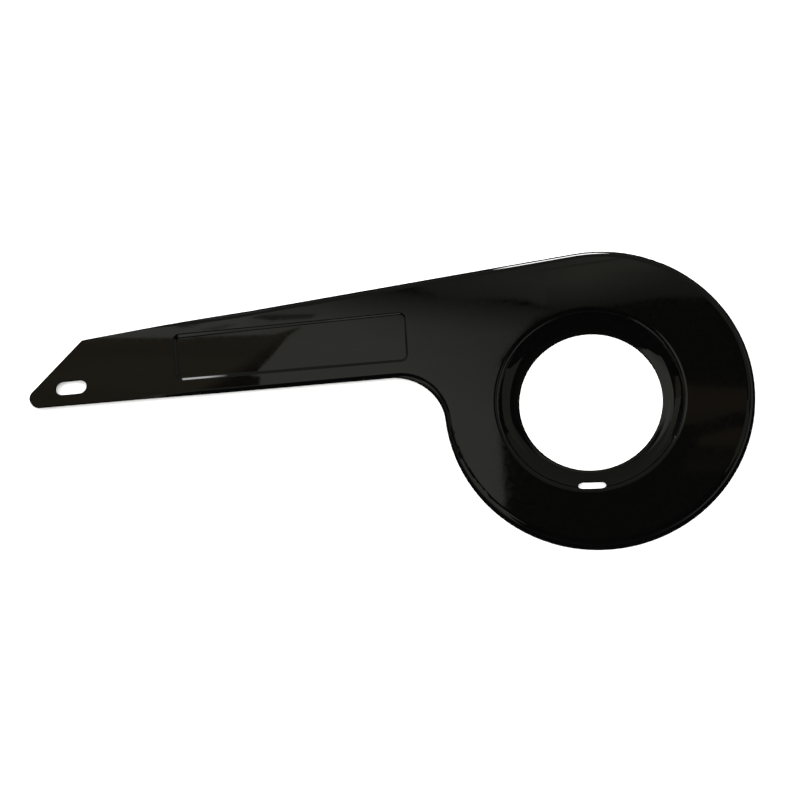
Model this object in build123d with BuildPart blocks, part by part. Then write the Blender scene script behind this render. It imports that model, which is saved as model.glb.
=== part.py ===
# Bicycle chain guard: one thin moulded plastic shell, lying face up on its rim.
# Origin: centre of the crank opening, on the plane of the rim that faces the bicycle.
# +X points forward along the bicycle, +Y up on the bicycle, +Z out of the glossy face.
import os
from math import cos, degrees, radians, sin, sqrt

from build123d import *

# Shell
depth = 7.0
wall = 2.0
edge_radius = 4.0

# Disc over the chainring, set a little forward of the crank axis
disc_radius = 78.5
disc_forward = 4.2
disc_up = 1.3

# Dished collar round the crank opening
opening_diameter = 72.6
crease_radius = 45.9
crease_drop = 2.3
collar_slope = 60.0
collar_roll = 3.0

# Arm over the upper run of the chain
top_edge_angle = 8.3
bottom_edge_angle = 3.15
bottom_edge_height = 20.75
neck_radius = 25.5

# Along the neck the rolled edge drops out of the outline by a little more than the wall, so that
# the arm's lower edge keeps only the softest part of it and no rim
roll_neck_radius = 23.0
roll_overhang = 0.4
# Gap left between the outline's neck and the disc, where the rolled edge crosses it
neck_gap = 0.1

# Along the arm's upper edge the rim rises from full depth to nothing
rim_rise_start = 110.0
rim_rise_end = 226.0

# Flat tail, where the rolled edges run out
top_roll_reach = 172.0
bottom_roll_reach = 190.0
run_out_radius = 550.0
tail_reach = 262.1
tail_taper = 0.75
tail_cut_angle = 47.3
tail_tip_radius = 4.8
tail_corner_radius = 2.5

# Sunk field on the arm, its floor a little deeper towards the rear
field_length = 120.0
field_reach = 151.75
field_top_margin = 6.85
field_bottom_margin = 7.65
field_top_angle = 3.75
field_bottom_angle = 3.2
field_rear_lean = 2.8
field_rear_depth = 1.0
field_front_depth = 0.5
field_side_slope = 30.0
field_corner_radius = 3.4
field_edge_radius = 1.0

# Screw slots
rear_slot_length = 16.3
rear_slot_width = 7.6
rear_slot_reach = 267.05
rear_slot_up = 15.3
rear_slot_angle = 3.75
front_slot_length = 14.2
front_slot_width = 4.6
front_slot_drop = 44.6

# Distance by which cutting shapes pass the faces they cut
clear = 8.0


def direction(angle):
    return Vector(cos(radians(angle)), sin(radians(angle)))


def on_line(point, run, x):
    return point + run * ((x - point.X) / run.X)


# The arm's two straight edges, the upper one tangent to the disc
disc_centre = Vector(disc_forward, disc_up)
top_run = direction(top_edge_angle)
top_out = direction(top_edge_angle + 90)
top_tangent = disc_centre + top_out * disc_radius
bottom_run = direction(bottom_edge_angle)
bottom_out = direction(bottom_edge_angle - 90)
bottom_foot = Vector(0, bottom_edge_height)
disc_front = disc_centre + Vector(disc_radius, 0)


# Start, middle and end of a hollow arc that leads from the arm's lower edge, or a line as far
# below it as the drop, to the disc, or as near to it as the gap
def neck_arc(radius, drop, gap):
    foot = bottom_foot + bottom_out * (radius + drop) - disc_centre
    along = foot.dot(bottom_run)
    span = disc_radius + gap + radius
    back = along + sqrt(along**2 - foot.dot(foot) + span**2)
    centre = disc_centre + foot - bottom_run * back
    start = centre - bottom_out * radius
    end = centre + (disc_centre - centre).normalized() * radius
    middle = centre + ((start + end) / 2 - centre).normalized() * radius
    return start, middle, end


# The outline's own neck, and the tighter one that the rolled edge follows out of the outline
roll_drop = wall + roll_overhang
neck_start, neck_middle, neck_end = neck_arc(neck_radius, 0, neck_gap)
roll_start, roll_middle, roll_end = neck_arc(roll_neck_radius, roll_drop, 0)

# The tail: an upper edge that falls faster than the arm's, a slanted end, a lower edge
top_roll_end = on_line(top_tangent, top_run, -top_roll_reach)
tail_top_run = direction(top_edge_angle + tail_taper)
tail_corner = on_line(top_roll_end, tail_top_run, -tail_reach)
tail_run = direction(tail_cut_angle)
tail_length = (tail_corner - bottom_foot).dot(bottom_out) / tail_run.dot(bottom_out)
tail_tip = tail_corner - tail_run * tail_length

# The sunk field stands off the arm's lower edge, and its rear upper corner off the upper edge
field_foot = on_line(bottom_foot, bottom_run, -field_reach) - bottom_out * field_bottom_margin
field_run = direction(field_bottom_angle)
rear_low = field_foot - field_run * (field_length / 2)
front_low = field_foot + field_run * (field_length / 2)
rear_run = direction(field_bottom_angle + 90 + field_rear_lean)
rear_rise = ((top_tangent - rear_low).dot(top_out) - field_top_margin) / rear_run.dot(top_out)
rear_high = rear_low + rear_run * rear_rise
field_top_run = direction(field_top_angle)
front_step = (front_low - rear_high).dot(field_run) / field_top_run.dot(field_run)
front_high = rear_high + field_top_run * front_step

# Floor of the sunk field, level across it and falling towards the rear
floor_run = field_run + Vector(0, 0, (field_rear_depth - field_front_depth) / field_length)
floor_up = direction(field_bottom_angle + 90)
field_floor = Plane(
    front_low + Vector(0, 0, depth - field_front_depth),
    x_dir=floor_run,
    z_dir=floor_run.cross(floor_up),
)

# Plan of the rolled edge, which drops out of the outline at the neck and swings away at the tail
bottom_roll_end = on_line(roll_start, bottom_run, -bottom_roll_reach)
flare_reach = clear - tail_tip.X
top_flare_angle = degrees((flare_reach - top_roll_reach) / run_out_radius)
bottom_flare_angle = degrees((flare_reach - bottom_roll_reach) / run_out_radius)
with BuildSketch() as shell_plan:
    with BuildLine():
        Line(top_tangent, top_roll_end)
        top_flare = JernArc(top_roll_end, -top_run, run_out_radius, -top_flare_angle)
        bottom_flare = JernArc(bottom_roll_end, -bottom_run, run_out_radius, bottom_flare_angle)
        Line(top_flare @ 1, bottom_flare @ 1)
        Line(bottom_roll_end, roll_start)
        ThreePointArc(roll_start, roll_middle, roll_end)
        ThreePointArc(roll_end, disc_front, top_tangent)
    make_face()

# Outline that trims that plan to the tail, the arm's lower edge and the neck
trim_front = disc_front.X + clear
trim_low = disc_centre.Y - disc_radius - clear
with BuildSketch() as tail_plan:
    with BuildLine():
        Polyline(
            neck_start,
            tail_tip,
            tail_corner,
            on_line(tail_corner, tail_top_run, trim_front),
            (trim_front, trim_low),
            (neck_end.X, trim_low),
            neck_end,
        )
        ThreePointArc(neck_end, neck_middle, neck_start)
    make_face()
    fillet(tail_plan.vertices().sort_by_distance(tail_corner)[0], tail_corner_radius)
    fillet(tail_plan.vertices().sort_by_distance(tail_tip)[0], tail_tip_radius)

# Hollow behind the face, its rolled edge one wall inside the outer one
hollow_roll = edge_radius - wall
with BuildPart() as hollow:
    with BuildSketch(Plane.XY.offset(-clear)):
        add(shell_plan.sketch)
        offset(amount=-wall, mode=Mode.REPLACE)
    extrude(amount=clear + depth - wall)
    fillet(hollow.edges().group_by(Axis.Z)[-1].sort_by(Axis.X)[1:], hollow_roll)

# Hollow of the sunk field: sloping sides that end on its floor
with BuildPart() as field_hollow:
    with BuildSketch(Plane.XY.offset(depth)) as field_plan:
        with BuildLine():
            Polyline(rear_low, front_low, front_high, rear_high, close=True)
        make_face()
        fillet(field_plan.vertices(), field_corner_radius)
    extrude(amount=-field_rear_depth, taper=90 - field_side_slope)
    split(bisect_by=field_floor, keep=Keep.TOP)

with BuildPart() as chain_guard:
    # Outer form: plan with its rolled edge, trimmed to the outline and hollowed
    with BuildSketch():
        add(shell_plan.sketch)
    extrude(amount=depth)
    fillet(chain_guard.edges().group_by(Axis.Z)[-1].sort_by(Axis.X)[1:], edge_radius)
    with BuildSketch():
        add(tail_plan.sketch)
    extrude(amount=depth, mode=Mode.INTERSECT)
    add(hollow.part, mode=Mode.SUBTRACT)

    # The rim rises along the arm's upper edge until the tail is a plain plate
    with BuildSketch(Plane.XZ):
        with BuildLine():
            Polyline(
                (-rim_rise_start, 0),
                (-rim_rise_end, depth - wall),
                (-flare_reach, depth - wall),
                (-flare_reach, -clear),
                (-rim_rise_start, -clear),
                close=True,
            )
        make_face()
    extrude(amount=disc_radius + clear, both=True, mode=Mode.SUBTRACT)

    # Along the neck it rises to the underside of the arm's lower edge
    edge_base = depth - edge_radius + sqrt(hollow_roll**2 - (hollow_roll - roll_overhang) ** 2)
    with BuildSketch(Plane.XZ.offset(-bottom_edge_height)):
        with BuildLine():
            Polyline(
                (neck_end.X, 0),
                (neck_start.X, edge_base),
                (neck_start.X, -clear),
                (neck_end.X, -clear),
                close=True,
            )
        make_face()
    extrude(amount=bottom_edge_height + disc_radius, mode=Mode.SUBTRACT)

    # Collar: a dish that leaves the opening level, then a steep wall up to the face
    opening_radius = opening_diameter / 2
    crease = Vector(crease_radius, depth - crease_drop)
    lip = crease + direction(collar_slope) * (crease_drop / sin(radians(collar_slope)))
    with BuildSketch(Plane.XZ):
        with BuildLine():
            TangentArc((opening_radius, wall), crease, tangent=(1, 0))
            Line(crease, lip)
            offset(amount=wall, side=Side.RIGHT, kind=Kind.INTERSECTION)
        make_face()
    revolve(axis=Axis.Z)
    with BuildSketch(Plane.XZ):
        with BuildLine():
            TangentArc((opening_radius, wall), crease, tangent=(1, 0))
            Polyline(crease, lip, (lip.X, depth + clear), (0, depth + clear), (0, wall))
            Line((0, wall), (opening_radius, wall))
        make_face()
    revolve(axis=Axis.Z, mode=Mode.SUBTRACT)
    lip_edge = chain_guard.edges().filter_by(GeomType.CIRCLE).sort_by_distance((lip.X, 0, depth))[0]
    fillet(lip_edge, collar_roll)

    # Sunk field, its sides eased at the face and at the floor
    add(field_hollow.part, mode=Mode.SUBTRACT)
    field_middle = field_floor.from_local_coords((-field_length / 2, rear_rise / 2, 0))
    field_outline = chain_guard.faces().sort_by(Axis.Z)[-1].inner_wires().sort_by_distance(field_middle)[0]
    fillet(field_outline.edges(), field_edge_radius)
    floor_face = chain_guard.faces().sort_by_distance(field_middle)[0]
    fillet(floor_face.edges(), field_edge_radius)

    # Rear slot through the tail, front slot through the collar's dish
    with BuildSketch():
        with Locations((-rear_slot_reach, rear_slot_up)):
            SlotOverall(rear_slot_length, rear_slot_width, rotation=rear_slot_angle)
        with Locations((0, -front_slot_drop)):
            SlotOverall(front_slot_length, front_slot_width)
    extrude(amount=depth, mode=Mode.SUBTRACT)

chain_guard.part.label = "chain_guard"
os.makedirs("parts", exist_ok=True)
export_step(chain_guard.part, "parts/chain_guard.step")
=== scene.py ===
import math

import bpy
from mathutils import Matrix, Vector

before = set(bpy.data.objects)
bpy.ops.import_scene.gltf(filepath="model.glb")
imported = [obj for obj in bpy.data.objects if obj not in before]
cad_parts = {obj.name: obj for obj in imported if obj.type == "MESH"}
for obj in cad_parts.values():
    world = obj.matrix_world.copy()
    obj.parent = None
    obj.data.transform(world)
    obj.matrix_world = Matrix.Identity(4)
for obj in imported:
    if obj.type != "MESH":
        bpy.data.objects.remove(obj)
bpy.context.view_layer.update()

# Chain guard: one thin shell, injection moulded in black ABS, held by a screw through each slot.
# The outer half of the mould is polished and the core half is left as it was spark eroded, so
# the face is a dark mirror, while the hollow back has a dull satin skin.
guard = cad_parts["chain_guard"]
millimetre = 0.001


def linear(hex_colour):
    parts = [int(hex_colour[i:i + 2], 16) / 255 for i in (1, 3, 5)]
    return [c / 12.92 if c <= 0.04045 else ((c + 0.055) / 1.055) ** 2.4 for c in parts] + [1.0]


def node(tree, kind, settings=None, inputs=None, links=None):
    made = tree.nodes.new(kind)
    for name, value in (settings or {}).items():
        setattr(made, name, value)
    for name, value in (inputs or {}).items():
        made.inputs[name].default_value = value
    for name, source in (links or {}).items():
        tree.links.new(source, made.inputs[name])
    return made


# Moulded gloss ABS: black right through, with a polished skin that mirrors the room.
# The skin has the faint long waves of a cooled moulding and a fine haze of handling,
# so that straight lights bend a little in it and their edges are not quite sharp.
# The back has the fine pits of the eroded mould, drawn three times as coarse so that they show.
abs_ior = 1.5
deep_black = "#010101"
hazed_black = "#030303"
wave_length = 32 * millimetre
wave_height = 0.006 * millimetre
wave_detail = 1.0
haze_grain = 2.5 * millimetre
haze_detail = 4.0
pit_size = 0.5 * millimetre
pit_depth = 0.03 * millimetre
pit_detail = 2.0
# Roughness of each skin where the haze is thinnest and thickest
face_clear, face_hazed = 0.02, 0.05
back_clear, back_hazed = 0.32, 0.42
# Haze that counts as thinnest on both skins, and as thickest on each
haze_thin, face_haze_thick, back_haze_thick = 0.3, 0.75, 0.7
# Upward part of the surface's normal where the back's skin ends and where the face's begins
back_end, face_start = -0.35, -0.15
abs_black = bpy.data.materials.new("moulded_gloss_abs")
abs_black.use_nodes = True
tree = abs_black.node_tree
shader = tree.nodes["Principled BSDF"]
shader.inputs["IOR"].default_value = abs_ior
place = node(tree, "ShaderNodeTexCoord").outputs["Object"]
facing = node(tree, "ShaderNodeSeparateXYZ", links={
    "Vector": node(tree, "ShaderNodeNewGeometry").outputs["Normal"],
}).outputs["Z"]
haze = node(tree, "ShaderNodeTexNoise", inputs={
    "Scale": 1 / haze_grain, "Detail": haze_detail,
}, links={"Vector": place}).outputs["Fac"]
face_gloss = node(tree, "ShaderNodeMapRange", inputs={
    "From Min": haze_thin, "From Max": face_haze_thick, "To Min": face_clear, "To Max": face_hazed,
}, links={"Value": haze})
back_satin = node(tree, "ShaderNodeMapRange", inputs={
    "From Min": haze_thin, "From Max": back_haze_thick, "To Min": back_clear, "To Max": back_hazed,
}, links={"Value": haze})
outside = node(tree, "ShaderNodeMapRange", inputs={
    "From Min": back_end, "From Max": face_start,
}, links={"Value": facing}).outputs[0]
polish = node(tree, "ShaderNodeMix", links={
    "Factor": outside, "A": back_satin.outputs[0], "B": face_gloss.outputs[0],
})
tree.links.new(polish.outputs["Result"], shader.inputs["Roughness"])
tint = node(tree, "ShaderNodeValToRGB", links={"Fac": haze})
tint.color_ramp.elements[0].color = linear(deep_black)
tint.color_ramp.elements[1].color = linear(hazed_black)
tree.links.new(tint.outputs["Color"], shader.inputs["Base Color"])
waves = node(tree, "ShaderNodeTexNoise", inputs={
    "Scale": 1 / wave_length, "Detail": wave_detail,
}, links={"Vector": place})
skin = node(tree, "ShaderNodeBump", inputs={
    "Strength": 1.0, "Distance": wave_height,
}, links={"Height": waves.outputs["Fac"]})
pits = node(tree, "ShaderNodeTexNoise", inputs={
    "Scale": 1 / pit_size, "Detail": pit_detail,
}, links={"Vector": place})
inside = node(tree, "ShaderNodeMapRange", inputs={
    "To Min": 1.0, "To Max": 0.0,
}, links={"Value": outside})
pitted = node(tree, "ShaderNodeBump", inputs={"Distance": pit_depth}, links={
    "Height": pits.outputs["Fac"], "Strength": inside.outputs[0], "Normal": skin.outputs["Normal"],
})
tree.links.new(pitted.outputs["Normal"], shader.inputs["Normal"])
guard.data.materials.clear()
guard.data.materials.append(abs_black)

# Floor: a wide sheet of pale paper, laid flat under the guard. It stays out of the glossy face,
# which mirrors only the panels round it, as black plastic does in a photo tent.
scene = bpy.context.scene
floor_half = 6.0
floor_colour = "#f6f6f4"
floor_roughness = 0.9
floor_mesh = bpy.data.meshes.new("studio_floor")
floor_mesh.from_pydata([
    (-floor_half, -floor_half, 0), (floor_half, -floor_half, 0),
    (floor_half, floor_half, 0), (-floor_half, floor_half, 0),
], [], [(0, 1, 2, 3)])
floor = bpy.data.objects.new("studio_floor", floor_mesh)
scene.collection.objects.link(floor)
# Pale paper: matt fibres with no shine, which give the eye one even, nearly white ground.
floor_paint = bpy.data.materials.new("pale_paper")
floor_paint.use_nodes = True
floor_shader = floor_paint.node_tree.nodes["Principled BSDF"]
floor_shader.inputs["Base Color"].default_value = linear(floor_colour)
floor_shader.inputs["Roughness"].default_value = floor_roughness
floor_shader.inputs["Specular IOR Level"].default_value = 0.0
floor_mesh.materials.append(floor_paint)
floor.visible_glossy = False

# Room: the white cloth of the tent behind the floor. It is bright to camera rays and dim to every
# other ray, so the face mirrors it dim.
white = "#ffffff"
room_bright = 1.0
room_dim = 0.012
world = bpy.data.worlds.new("studio")
world.use_nodes = True
scene.world = world
backdrop = world.node_tree.nodes["Background"]
backdrop.inputs["Color"].default_value = linear(white)
seen = node(world.node_tree, "ShaderNodeMapRange", inputs={
    "To Min": room_dim, "To Max": room_bright,
}, links={"Value": node(world.node_tree, "ShaderNodeLightPath").outputs["Is Camera Ray"]})
world.node_tree.links.new(seen.outputs[0], backdrop.inputs["Strength"])

# Overhead softbox: a square lamp behind white cloth, hung over the guard. It lights the floor
# evenly and shows in no reflection.
softbox_side = 4.0
softbox_power = 280
softbox_place = (-0.1, 0, 2.6)
softbox_lamp = bpy.data.lights.new("overhead_softbox", "AREA")
softbox_lamp.shape = "SQUARE"
softbox_lamp.size = softbox_side
softbox_lamp.energy = softbox_power
softbox = bpy.data.objects.new("overhead_softbox", softbox_lamp)
softbox.location = softbox_place
softbox.visible_glossy = False
scene.collection.objects.link(softbox)

# Cloth screens: pale sheets hung level over the guard, one above another, which the flat face
# mirrors on the arm, the neck and the disc. They glow softly and fade towards some of their edges.
# Like every panel that follows, they are seen by the glossy face alone.
screen_height = 1.5
tail_screen_height = 1.49
far_screen_height = 1.51
ceiling_height = 1.52
pale_grey = "#fdfff1"
clear_grey = "#fdfff4"
green_grey = "#fbffea"
warm_grey = "#fff6e0"
# Streaks in cloth and grain in wood run along X, drawn broader than real so that they show in
# the face, from the noise where they are darkest to where they are lightest
streak_width = 9 * millimetre
streak_length = 20 * streak_width
streak_detail = 3.0
streak_low, streak_high = 0.3, 0.7
# Directions in which a panel fades: along the guard, and away from the camera or towards it
forward = (1, 0, 0)
rearward = (-1, 0, 0)
away = (0, 1, 0)
towards = (0, -1, 0)


# A fade has a direction, where it begins and ends along it, and the share of light left there
def panel(name, corners, colour, strength, fades=(), grain=0.0):
    mesh = bpy.data.meshes.new(name)
    mesh.from_pydata(corners, [], [tuple(range(len(corners)))])
    made = bpy.data.objects.new(name, mesh)
    scene.collection.objects.link(made)
    glow = bpy.data.materials.new(name)
    glow.use_nodes = True
    tree = glow.node_tree
    tree.nodes.clear()
    spot = node(tree, "ShaderNodeTexCoord").outputs["Object"]
    stretched = node(tree, "ShaderNodeVectorMath", {"operation": "MULTIPLY"}, {
        1: (1 / streak_length, 1 / streak_width, 1.0),
    }, {0: spot})
    streaks = node(tree, "ShaderNodeTexNoise", inputs={
        "Scale": 1.0, "Detail": streak_detail,
    }, links={"Vector": stretched.outputs[0]})
    brightness = node(tree, "ShaderNodeMapRange", inputs={
        "From Min": streak_low, "From Max": streak_high,
        "To Min": strength * (1 - grain), "To Max": strength * (1 + grain),
    }, links={"Value": streaks.outputs["Fac"]}).outputs[0]
    for direction, begin, end, left in fades:
        along = node(tree, "ShaderNodeVectorMath", {"operation": "DOT_PRODUCT"}, {
            1: direction,
        }, {0: spot})
        share = node(tree, "ShaderNodeMapRange", inputs={
            "From Min": begin, "From Max": end, "To Min": 1.0, "To Max": left,
        }, links={"Value": along.outputs["Value"]})
        brightness = node(tree, "ShaderNodeMath", {"operation": "MULTIPLY"}, links={
            0: brightness, 1: share.outputs[0],
        }).outputs[0]
    light = node(tree, "ShaderNodeEmission", inputs={
        "Color": linear(colour),
    }, links={"Strength": brightness})
    node(tree, "ShaderNodeOutputMaterial", links={"Surface": light.outputs[0]})
    mesh.materials.append(glow)
    made.visible_camera = False
    made.visible_diffuse = False
    made.visible_shadow = False


def level(height, *points):
    return [(x, y, height) for x, y in points]


panel(
    "grey_screen",
    level(
        screen_height,
        (-0.155, 0.355), (-0.159, 0.434), (-0.158, 0.510), (-0.142, 0.531), (-0.122, 0.554),
        (-0.0954, 0.5617), (-0.189, 0.578), (-0.273, 0.590), (-0.34, 0.605), (-0.45, 0.9),
        (-1.08, 0.9), (-1.06, 0.5), (-0.99, 0.3), (-0.96, 0.0), (-0.9, -0.01), (-0.44, 0.13),
        (-0.30, 0.23),
    ),
    pale_grey, strength=0.61, grain=0.03,
    fades=[
        ((0.11, 1, 0), 0.522, 0.556, 0.32),
        ((0.574, 0.819, 0), 0.2618, 0.371, 0.6),
        (towards, -0.30, -0.08, 0.7),
    ],
)
panel(
    "tail_screen",
    level(tail_screen_height, (-0.42, 0.545), (-0.42, 0.9), (-1.06, 0.9), (-1.06, 0.545)),
    clear_grey, strength=0.70,
    fades=[(rearward, 0.66, 0.75, 0.85), (away, 0.72, 0.9, 0.7)],
)
panel(
    "far_screen",
    level(far_screen_height, (-1.06, 0.72), (-1.06, 2.0), (-2.2, 2.0), (-2.2, 0.72)),
    green_grey, strength=0.34,
    fades=[(away, 0.9, 1.6, 0.7)],
)
panel(
    "upper_screen",
    level(
        screen_height,
        (-0.2568, 0.601), (-0.2306, 0.5867), (-0.2097, 0.5793), (-0.1347, 0.5753),
        (-0.1099, 0.5677), (-0.1099, 0.70), (-0.2568, 0.70),
    ),
    green_grey, strength=0.28, grain=0.1,
    fades=[(rearward, 0.11, 0.21, 0.68)],
)
panel(
    "disc_screen",
    level(
        screen_height,
        (-0.1099, 0.5677), (-0.0954, 0.5617), (-0.0726, 0.5647), (-0.0478, 0.5654),
        (-0.0168, 0.5685), (0.0081, 0.572), (0.0512, 0.5703), (0.114, 0.565), (0.114, 0.70),
        (-0.1099, 0.70),
    ),
    green_grey, strength=0.36, grain=0.1,
    fades=[((0.2106, -0.9776, 0), -0.603, -0.5695, 0.4), (rearward, 0.075, 0.11, 0.8)],
)
panel(
    "dim_ceiling",
    level(ceiling_height, (-0.155, 0.2), (0.3, 0.2), (0.3, 0.57), (-0.155, 0.57)),
    warm_grey, strength=0.03,
)

# Wooden board: pale brown, planed along its grain, and held level over the tail and the rear of
# the sunk field, which mirror it. It glows by itself, painted light in place of a board lit by
# the room, and dims towards its slanted end, painted shade. Three dim glowing slips of painted
# shade hang just under its far edge.
board_height = 0.3
slip_height = 0.29
pale_wood_glow = "#ffeec9"
panel(
    "brown_board",
    level(
        board_height,
        (-0.60, 0.1505), (-0.265, 0.1395), (-0.260, 0.1405), (-0.210, 0.1400), (-0.192, 0.1447),
        (-0.2015, 0.1385), (-0.2105, 0.127), (-0.219, 0.118), (-0.2222, 0.1135),
        (-0.2155, 0.1125), (-0.2165, 0.1024), (-0.226, 0.085), (-0.243, 0.066), (-0.60, 0.066),
    ),
    pale_wood_glow, strength=0.235, grain=0.12,
    # Dims towards the board's slanted end: painted shade.
    fades=[((0.567, -0.823, 0), -0.2320, -0.2235, 0.2)],
)
panel(
    "shade_streak_1",
    level(
        slip_height,
        (-0.2206, 0.1473), (-0.2132, 0.149), (-0.1784, 0.1483), (-0.1833, 0.1456),
        (-0.2069, 0.1452),
    ),
    pale_grey, strength=0.18,
)
panel(
    "shade_streak_2",
    level(
        slip_height, (-0.2705, 0.143), (-0.2593, 0.1455), (-0.2481, 0.1457), (-0.2592, 0.1426),
    ),
    pale_grey, strength=0.30,
)
panel(
    "shade_streak_3",
    level(
        slip_height, (-0.2542, 0.1408), (-0.2355, 0.1433), (-0.2268, 0.1436), (-0.2417, 0.1406),
    ),
    pale_grey, strength=0.33,
)

# Wooden bands: three dark brown slats with a strong grain, hung level as high as the screens.
# They glow by themselves, painted light in place of lit slats, and the disc's front mirrors them
# as faint warm stripes.
brown_wood_glow = "#ffe3b8"
yellow_wood_glow = "#fdf6d0"
panel(
    "brown_band_1",
    level(
        screen_height,
        (0.024, 0.476), (0.103, 0.47), (0.102, 0.449), (0.076, 0.445), (0.057, 0.438),
        (0.035, 0.434), (0.019, 0.435),
    ),
    brown_wood_glow, strength=0.145, grain=0.2,
)
panel(
    "brown_band_2",
    level(
        screen_height,
        (0.102, 0.432), (0.101, 0.409), (0.075, 0.408), (0.042, 0.411), (0.043, 0.42),
        (0.075, 0.429),
    ),
    brown_wood_glow, strength=0.12, grain=0.2,
)
panel(
    "brown_band_3",
    level(screen_height, (0.032, 0.405), (0.09, 0.406), (0.074, 0.383), (0.023, 0.385)),
    yellow_wood_glow, strength=0.06, grain=0.3,
)

# Walls: sheets of pale card, stood on end round the guard, and one laid level in front of it.
# Each glows by itself, painted light in place of card lit by the room, and the near wall's glow
# fades towards the rear. The rolled edges and the dish mirror them, and so does the face when it
# is seen from low down.
front_board_height = 0.9
wall_x = 2.2
wall_y = 2.0
far_wall_y = 2.02
wall_foot = 0.02
wall_top = 1.3
back_wall_foot = 0.4
back_wall_top = 4.0
rear_wall_top = 1.15
far_wall_top = 0.6
tinted_card_glow = "#f9ffe7"
white_card_glow = "#fdfef8"


def upright(start, end, foot, top):
    return [(*start, foot), (*end, foot), (*end, top), (*start, top)]


panel(
    "front_board",
    level(front_board_height, (0.38, -0.02), (1.03, -0.02), (1.03, 0.8), (0.38, 0.8)),
    tinted_card_glow, strength=0.24,
)
panel(
    "back_wall",
    upright((-wall_x, wall_y), (wall_x, wall_y), back_wall_foot, back_wall_top),
    tinted_card_glow, strength=0.18,
)
panel(
    "rear_wall",
    upright((-wall_x, -wall_y), (-wall_x, wall_y), wall_foot, rear_wall_top),
    white_card_glow, strength=0.14,
)
panel(
    "front_wall",
    upright((wall_x, -wall_y), (wall_x, wall_y), wall_foot, wall_top),
    white_card_glow, strength=0.40,
)
panel(
    "near_wall",
    upright((-wall_x, -wall_y), (wall_x, -wall_y), wall_foot, wall_top),
    white_card_glow, strength=0.40,
    fades=[(rearward, -wall_x, -0.8, 0.125)],
)
panel(
    "far_wall",
    upright((-wall_x, far_wall_y), (wall_x, far_wall_y), wall_foot, far_wall_top),
    white, strength=0.30,
)

# Lamps: two strips of white glass, held upright beyond the guard. The edge strip draws the streak
# on the disc's upper edge and the field lamp the one in the sunk field. Each has a flag, a slip
# of card that hides it from the dish or from the arm's upper edge and glows dimly by itself,
# painted light in place of a lit card.
panel(
    "edge_strip",
    upright((-0.0505, 0.084), (0.0115, 0.0915), 0.0058, 0.0105),
    white, strength=20.0,
    fades=[(forward, 0.0035, 0.0115, 0.1), (rearward, 0.0425, 0.0505, 0.1)],
)
panel(
    "strip_flag",
    upright((-0.0534, 0.0665), (0.0185, 0.0752), 0.0072, 0.0104),
    green_grey, strength=0.26,
)
panel(
    "field_lamp",
    [
        (-0.2608, 0.25, 0.042), (-0.2338, 0.25, 0.048),
        (-0.2338, 0.25, 0.0586), (-0.2608, 0.25, 0.0586),
    ],
    white, strength=7.0,
    fades=[(forward, -0.2457, -0.2338, 0.12)],
)
panel(
    "lamp_flag",
    upright((-0.28, 0.062), (-0.165, 0.062), 0.004, 0.0112),
    white, strength=0.30,
)

# Low screens: two small sheets of pale cloth, held level over the floor beside the arm's lower
# edge. One lights the sunk field's upper side and the other the rolled edge at the disc's rear.
low_screen_height = 0.15
rim_screen_height = 0.1
panel(
    "low_screen",
    level(low_screen_height, (-0.245, -0.110), (-0.09, -0.110), (-0.09, -0.072), (-0.245, -0.072)),
    clear_grey, strength=0.8,
)
panel(
    "rim_screen",
    level(rim_screen_height, (-0.145, -0.03), (-0.10, -0.085), (-0.20, -0.25), (-0.36, -0.06)),
    pale_grey, strength=0.55,
)

# Camera: a long lens on a stand, which looks down on the face from the side of the lower edge,
# as the photograph does. It is turned a little to the front and leans off the face's normal.
lens = 135.0
sensor = 36.0
turn = math.radians(6.35)
lean = math.radians(-17.3)
aim = Vector((-0.09715, 0.0044, 0.001))
distance = 1.5295
back = Vector((
    math.sin(turn) * math.cos(lean), math.sin(lean), math.cos(turn) * math.cos(lean),
))
right = Vector((0, 1, 0)).cross(back).normalized()
up = back.cross(right)
camera_data = bpy.data.cameras.new("camera")
camera_data.lens = lens
camera_data.sensor_width = sensor
camera = bpy.data.objects.new("camera", camera_data)
camera.matrix_world = (
    Matrix.Translation(aim + back * distance) @ Matrix((right, up, back)).transposed().to_4x4()
)
scene.collection.objects.link(camera)
scene.camera = camera
scene.view_settings.view_transform = "Standard"

bpy.context.view_layer.update()
